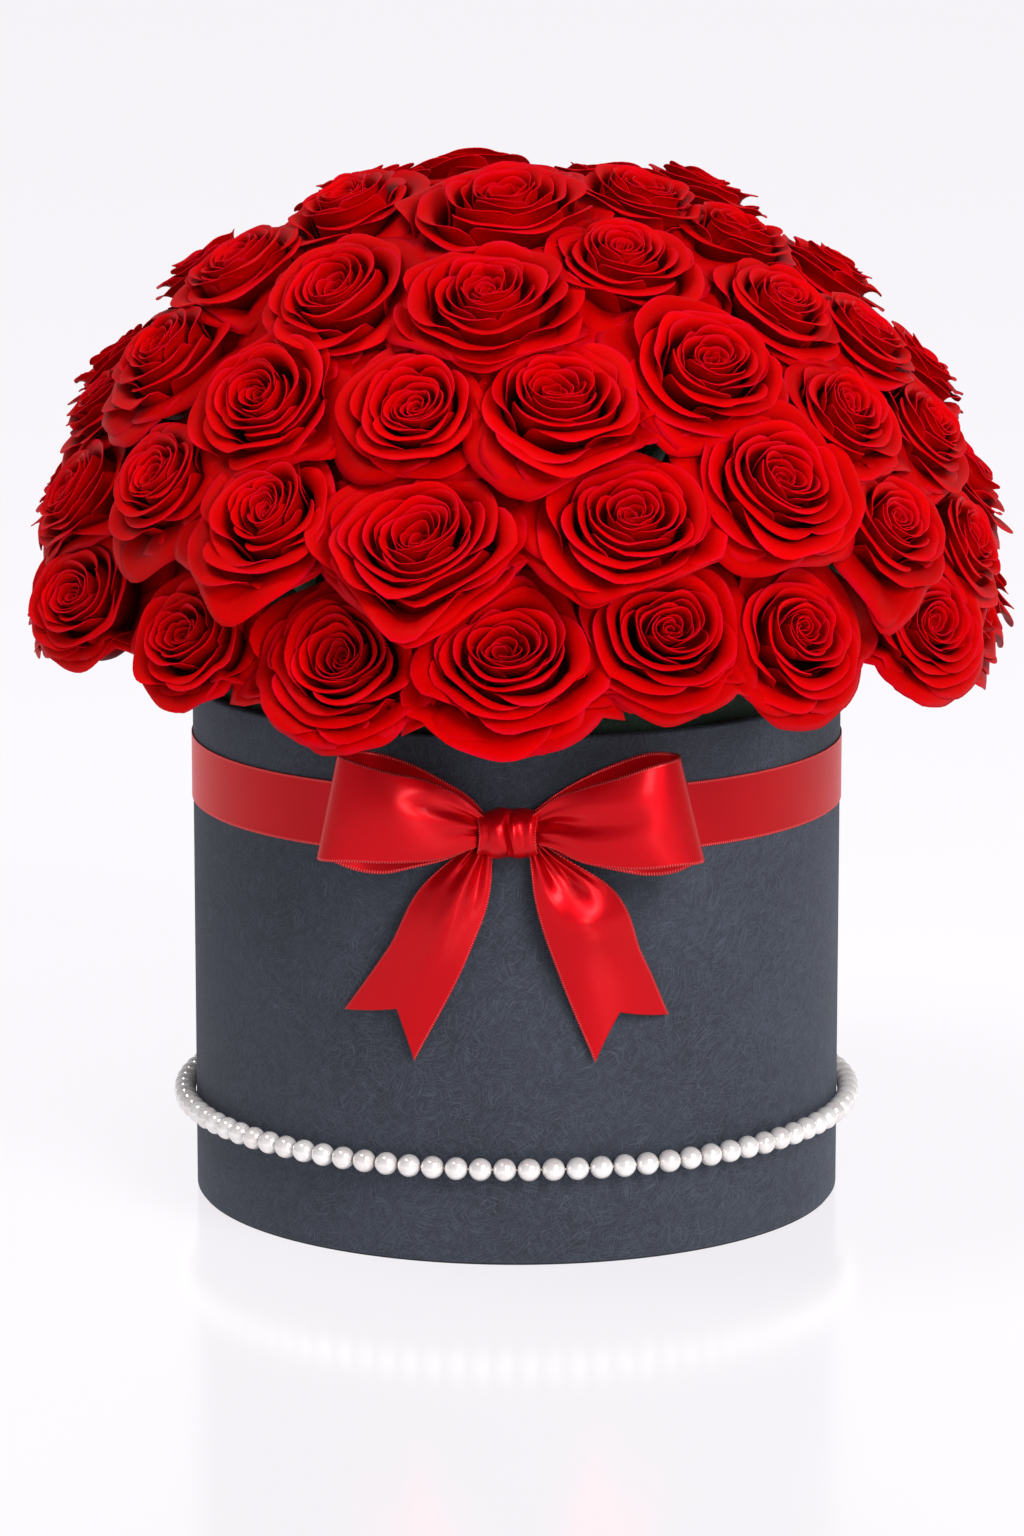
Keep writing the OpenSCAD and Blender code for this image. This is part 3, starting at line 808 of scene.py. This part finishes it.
def add_pearls():
    """Ninety drilled pearls, each turned round the thread."""
    hole, (low, high) = 0.5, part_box("pearls")
    size = (high.z - low.z) / 2 / MM
    arc = np.linspace(0.13, math.pi - 0.13, 19)
    profile = [[size * math.sin(a), size * math.cos(a)] for a in arc]
    profile = [[hole, size * 0.9]] + profile + [[hole, -size * 0.9], [hole, size * 0.9]]
    shape = Shape()
    rng = np.random.default_rng(5)
    for points in solids_of("pearls"):
        centre = (points.min(0) + points.max(0)) / 2
        centre[2] = (low.z + high.z) / 2 / MM
        run = unit(np.array([-centre[1], centre[0], 0]))
        bead = lathe(profile, 26, frame_along(run), centre)
        shape.add(bead, closed=True, tone=rng.uniform(0, 1))
    make_piece("pearl_beads", shape.mesh("pearl_beads", PEARL), "box", ["pearls"])


# ---------------------------------------------------------------- ribbon

def wall_front(x):
    """The y of the box's front wall at an x."""
    return -np.sqrt(WALL ** 2 - x ** 2)


def ribbon_piece(name, grid, uv, node, material, thickness=0.45):
    shape = Shape()
    shape.add(grid, uv)
    return make_piece(name, shape.mesh(name, material), "box", [node], thickness)


def add_band():
    """A ribbon round the box, lapped over itself at the back."""
    low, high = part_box("ribbon_band")
    middle = (low.z + high.z) / 2 / MM
    length = 2 * math.pi * BAND_RADIUS + BAND_LAP
    run = np.linspace(0, length, 280)[None, :]
    side = np.array([-1, -0.97, -0.9, -0.5, 0, 0.5, 0.9, 0.97, 1])[:, None] * BAND_HALF
    angle = run / BAND_RADIUS - BAND_LAP / BAND_RADIUS / 2
    over = eased(np.clip((run - (length - BAND_LAP - 4)) / 4, 0, 1))
    sway = 0.12 * np.sin(3 * angle) + 0.08 * np.sin(7 * angle + 1)
    r = BAND_RADIUS + BAND_CLEAR + 0.62 * over + 0 * side
    away = np.abs((angle - math.pi) * BAND_RADIUS + KNOT[0])
    gather = eased(np.clip((30 - away) / 22, 0, 1))
    middle = middle + (KNOT[2] - middle) * gather
    rise = side * (1 - 0.52 * gather)
    grid = np.stack([r * np.sin(angle), r * np.cos(angle), middle + rise + sway], -1)
    uv = np.stack([run + 0 * side, side + 0 * run], -1)
    band = ribbon_piece("band", grid, uv, "ribbon_band", BAND)


# Each outline is (place, height) pairs from the knot at 0 to the fold at 1, and each pleat is
# (place across, width, depth, reach from the knot).
LOOPS = {
    "right": {
        "fold": (62.8, 71.9),
        "front_top": [(0, 6.5), (0.165, 14.2), (0.35, 18.8), (0.59, 23.2), (0.81, 27.4), (1, 29.2)],
        "back_top": [(0, 7), (0.18, 14), (0.387, 20.1), (0.59, 24.7), (0.81, 28.5), (1, 29.2)],
        "front_low": [(0, -2.5), (0.14, -4.5), (0.3, -8.9), (0.456, -10.5), (0.69, -10.7),
                      (0.85, -9.8), (1, -10)],
        "back_low": [(0, -4), (0.175, -9), (0.38, -13.8), (0.536, -16.3), (0.677, -17.8),
                     (0.88, -15.4), (1, -10)],
        "pleats": [(0.05, 0.28, 6.8, 0.85), (0.62, 0.2, 2.8, 0.35), (-0.6, 0.16, 2.4, 0.4)],
        "crown": 3.4,
    },
    "left": {
        "fold": (61.6, 69.4),
        "front_top": [(0, 6.5), (0.15, 14.2), (0.376, 21.6), (0.66, 25.4), (1, 30.4)],
        "back_top": [(0, 7), (0.074, 11.4), (0.3, 19), (0.526, 24.8), (0.79, 28.9), (1, 30.4)],
        "front_low": [(0, -3), (0.26, -7.8), (0.557, -8.6), (0.8, -8.2), (1, -9)],
        "back_low": [(0, -4), (0.26, -11.5), (0.41, -14.2), (0.62, -17.1), (0.786, -15.7), (1, -9)],
        "pleats": [(0.42, 0.2, 4.6, 0.6), (-0.2, 0.18, 3.0, 0.3), (0.78, 0.14, 1.8, 0.3)],
        "crown": 4.0,
    },
}


def add_loop(side, facts):
    """A teardrop loop of ribbon: out along the front, round the fold and back behind."""
    sign = 1 if side == "right" else -1
    w = np.linspace(-1, 1, 121)[None, :]  # -1 front at the knot, 0 the fold, 1 back
    v = np.linspace(-1, 1, 33)[:, None]
    p = 1 - np.abs(w) ** 1.8
    front = eased(np.clip(0.5 - w / 0.16, 0, 1))
    top = smooth_curve(facts["front_top"], p) * front
    top = top + smooth_curve(facts["back_top"], p) * (1 - front)
    low = smooth_curve(facts["front_low"], p) * front
    low = low + smooth_curve(facts["back_low"], p) * (1 - front)
    upper, lower = (HELD_END + (x - HELD_END) * p for x in facts["fold"])
    share = (v + 1) / 2
    x = lower + (upper - lower) * share
    z = low + (top - low) * share
    half = 10.5
    y = np.sign(w) * (half * 4 * np.abs(w) * (1 - np.abs(w)) + 2.2 * np.abs(w) ** 3)
    crown = facts["crown"] * np.sin(math.pi * np.clip(p, 0, 1) ** 0.8) * (1 - v ** 2)
    y = y - crown * front + 0.5 * crown * (1 - front)
    for place, width, depth, reach in facts["pleats"]:
        fade = np.clip(1 - p / reach, 0, 1) ** 1.3 * (1 - np.exp(-p / 0.03))
        y = y + depth * np.exp(-((v - place) / width) ** 2) * fade * front
    y = y + 0.5 * np.sin(3.1 * v + 5 * p) * p * (1 - p)
    grid = np.stack([sign * x, y + 0 * x, z], -1) + KNOT
    steps = np.linalg.norm(np.diff(grid[v.size // 2], axis=0), axis=1)
    run = np.concatenate([[0], np.cumsum(steps)])
    uv = np.stack([run[None, :] + 0 * v, v * RIBBON_HALF + 0 * w], -1)
    piece = ribbon_piece(f"loop_{side}", grid, uv, f"bow_loop_{side}", BOW)


# Each edge is (place, (x, z)) pairs from the knot, "stand" is the distance from the wall, each
# dip is (place, place across, length, width, depth), and creases are (count, depth, reach).
TAILS = {
    "right": {
        "inner": [(0, (8.0, -3)), (0.1, (8.4, -9)), (0.25, (9.6, -22.5)), (0.62, (19.6, -56)),
                  (1, (32.4, -88.5))],
        "outer": [(0, (11, -2)), (0.1, (17, -7)), (0.25, (35, -18.5)), (0.62, (50, -48.5)),
                  (1, (59.8, -72.5))],
        "stand": [(0, 7.5), (0.15, 7.5), (0.42, 8), (0.7, 4.2), (1, 2.4)],
        "dips": [(0.2, 0.0, 0.12, 0.5, -5.5), (0.42, 0.1, 0.1, 0.7, 2.0)],
        "creases": (3.5, 2.6, 0.18),
        "belly": 4.5,
        "lean": 1.0,
    },
    "left": {
        "inner": [(0, (5.5, -3)), (0.1, (5.5, -9)), (0.25, (6.4, -23)), (0.5, (13.9, -45.5)),
                  (1, (34.4, -88.5))],
        "outer": [(0, (10, -2)), (0.1, (16, -7)), (0.25, (29, -18.5)), (0.6, (43.6, -45)),
                  (1, (60.5, -71.5))],
        "stand": [(0, 7), (0.2, 7.5), (0.5, 6.5), (0.75, 4), (1, 2.2)],
        "dips": [(0.12, -0.6, 0.16, 0.35, -4.5), (0.38, -0.1, 0.3, 0.35, 2.6),
                 (0.2, 0.75, 0.2, 0.3, -1.5)],
        "creases": (3.0, 2.6, 0.20),
        "belly": 4.5,
        "lean": -1.5,
    },
}


def add_tail(side, facts):
    """A hanging end of ribbon with a swallowtail cut, standing a little off the wall."""
    sign = 1 if side == "right" else -1
    v = np.linspace(-1, 1, 41)[None, :]
    t = np.linspace(0, 1, 90)[:, None] * (1 - NOTCH * (1 - np.abs(v)))
    edges = []
    for key in ("inner", "outer"):
        places = [place for place, _ in facts[key]]
        edges += [smooth_curve([(p, xy[i]) for p, (_, xy) in zip(places, facts[key])], t)
                  for i in (0, 1)]
    share = (v + 1) / 2
    x = sign * (edges[0] + (edges[2] - edges[0]) * share) + KNOT[0]
    z = edges[1] + (edges[3] - edges[1]) * share + KNOT[2]
    stand = smooth_curve(facts["stand"], t) + facts["lean"] * v * t * (1 - t)
    for place, across, long, wide, depth in facts["dips"]:
        stand = stand + depth * np.exp(-((t - place) / long) ** 2 - ((v - across) / wide) ** 2)
    count, depth, reach = facts["creases"]
    fading = np.exp(-(t / reach) ** 2)
    stand = stand + depth * fading * np.cos(count * math.pi * v + 3 * t)
    stand = stand + facts["belly"] * (1 - v ** 2) * (1 - fading) * (1 - 0.6 * t)
    stand = np.maximum(stand, 1.6)
    grid = np.stack([x, wall_front(x) - stand, z], -1)
    uv = np.stack([t * TAIL_CUT + 0 * v, v * RIBBON_HALF + 0 * t], -1)
    piece = ribbon_piece(f"tail_{side}", grid, uv, f"bow_tail_{side}", BOW)


def add_knot():
    """The short piece of ribbon wrapped round the gathers, puckered in the middle."""
    a = np.linspace(-0.72 * math.pi, 0.72 * math.pi, 73)[:, None]  # 0 faces the front
    b = np.linspace(-1, 1, 45)[None, :]
    half = 10.8 - 0.5 * np.cos(2 * a)
    x = b * half + 0.9 * np.sin(1.6 * a) * (1 - b ** 2)
    r = 7.6 - 1.5 * np.abs(b) ** 3.5 + 0.25 * np.sin(9 * b + 2 * a)
    groove = 0.04 - 0.13 * np.sin(2.4 * a + 0.2)
    r = r - 2.6 * np.exp(-((b - groove) / 0.075) ** 2) * np.exp(-(a / 1.1) ** 4)
    r = r + 1.0 * np.exp(-((b - groove - 0.22) / 0.16) ** 2) * np.exp(-((a + 0.15) / 0.8) ** 2)
    r = r + 0.9 * np.exp(-((b - groove + 0.3) / 0.22) ** 2) * np.exp(-((a - 0.1) / 0.9) ** 2)
    r = r - 0.7 * np.exp(-((b + 0.72) / 0.12) ** 2) + 0.5 * np.exp(-((b - 0.8) / 0.15) ** 2)
    grid = np.stack([x, 1.2 - 1.08 * r * np.cos(a), 0.2 + 1.17 * r * np.sin(a)], -1) + KNOT
    run = a * 7.4
    uv = np.stack([run + 0 * b, b * RIBBON_HALF + 0 * a], -1)
    piece = ribbon_piece("knot", grid, uv, "bow_knot", BOW, 0.5)


# ---------------------------------------------------------------- CAD nodes that stay

def dress(node, material):
    """Gives a CAD node that keeps its shape a better material."""
    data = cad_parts[node].data
    data.materials.clear()
    data.materials.append(material)


def dress_cad():
    board = grained_look("board", (0.20, 0.19, 0.17), (0.32, 0.31, 0.28), 900, 0.85, 0.08)
    dress("wall_tube", board)
    dress("base_disc", board)
    dress("base_paper", grained_look("base_paper", (0.010, 0.012, 0.016), (0.022, 0.026, 0.033),
                                     1200, 0.8, 0.06))
    lining = grained_look("lining", (0.60, 0.58, 0.53), (0.72, 0.70, 0.65), 1100, 0.8, 0.05)
    dress("wall_lining", lining)
    dress("floor_lining", lining)
    dress("bow_glue_dot", grained_look("glue", (0.62, 0.56, 0.38), (0.72, 0.66, 0.48), 300, 0.3,
                                       0.1))
    dress("pearl_thread", grained_look("thread", (0.70, 0.66, 0.58), (0.85, 0.82, 0.76), 4000,
                                       0.6, 0.05))
    dress("liner_tray", grained_look("liner", (0.40, 0.46, 0.45), (0.50, 0.57, 0.55), 120, 0.28,
                                     0.05))
    foam = foam_look()
    dress("foam_lower", foam)
    dress("foam_dome", foam)


def add_floor():
    floor = bpy.data.objects.new("floor", make_mesh(
        "floor", np.array([[-1, -1, 0], [1, -1, 0], [1, 1, 0], [-1, 1, 0]]) * FLOOR_HALF,
        np.array([[0, 1, 2, 3]]), floor_look()))
    SCENE.collection.objects.link(floor)


add_floor()
dress_cad()
add_wrap()
add_pearls()
add_band()
add_knot()
for way, facts in LOOPS.items():
    add_loop(way, facts)
for way, facts in TAILS.items():
    add_tail(way, facts)
add_stems(add_roses())
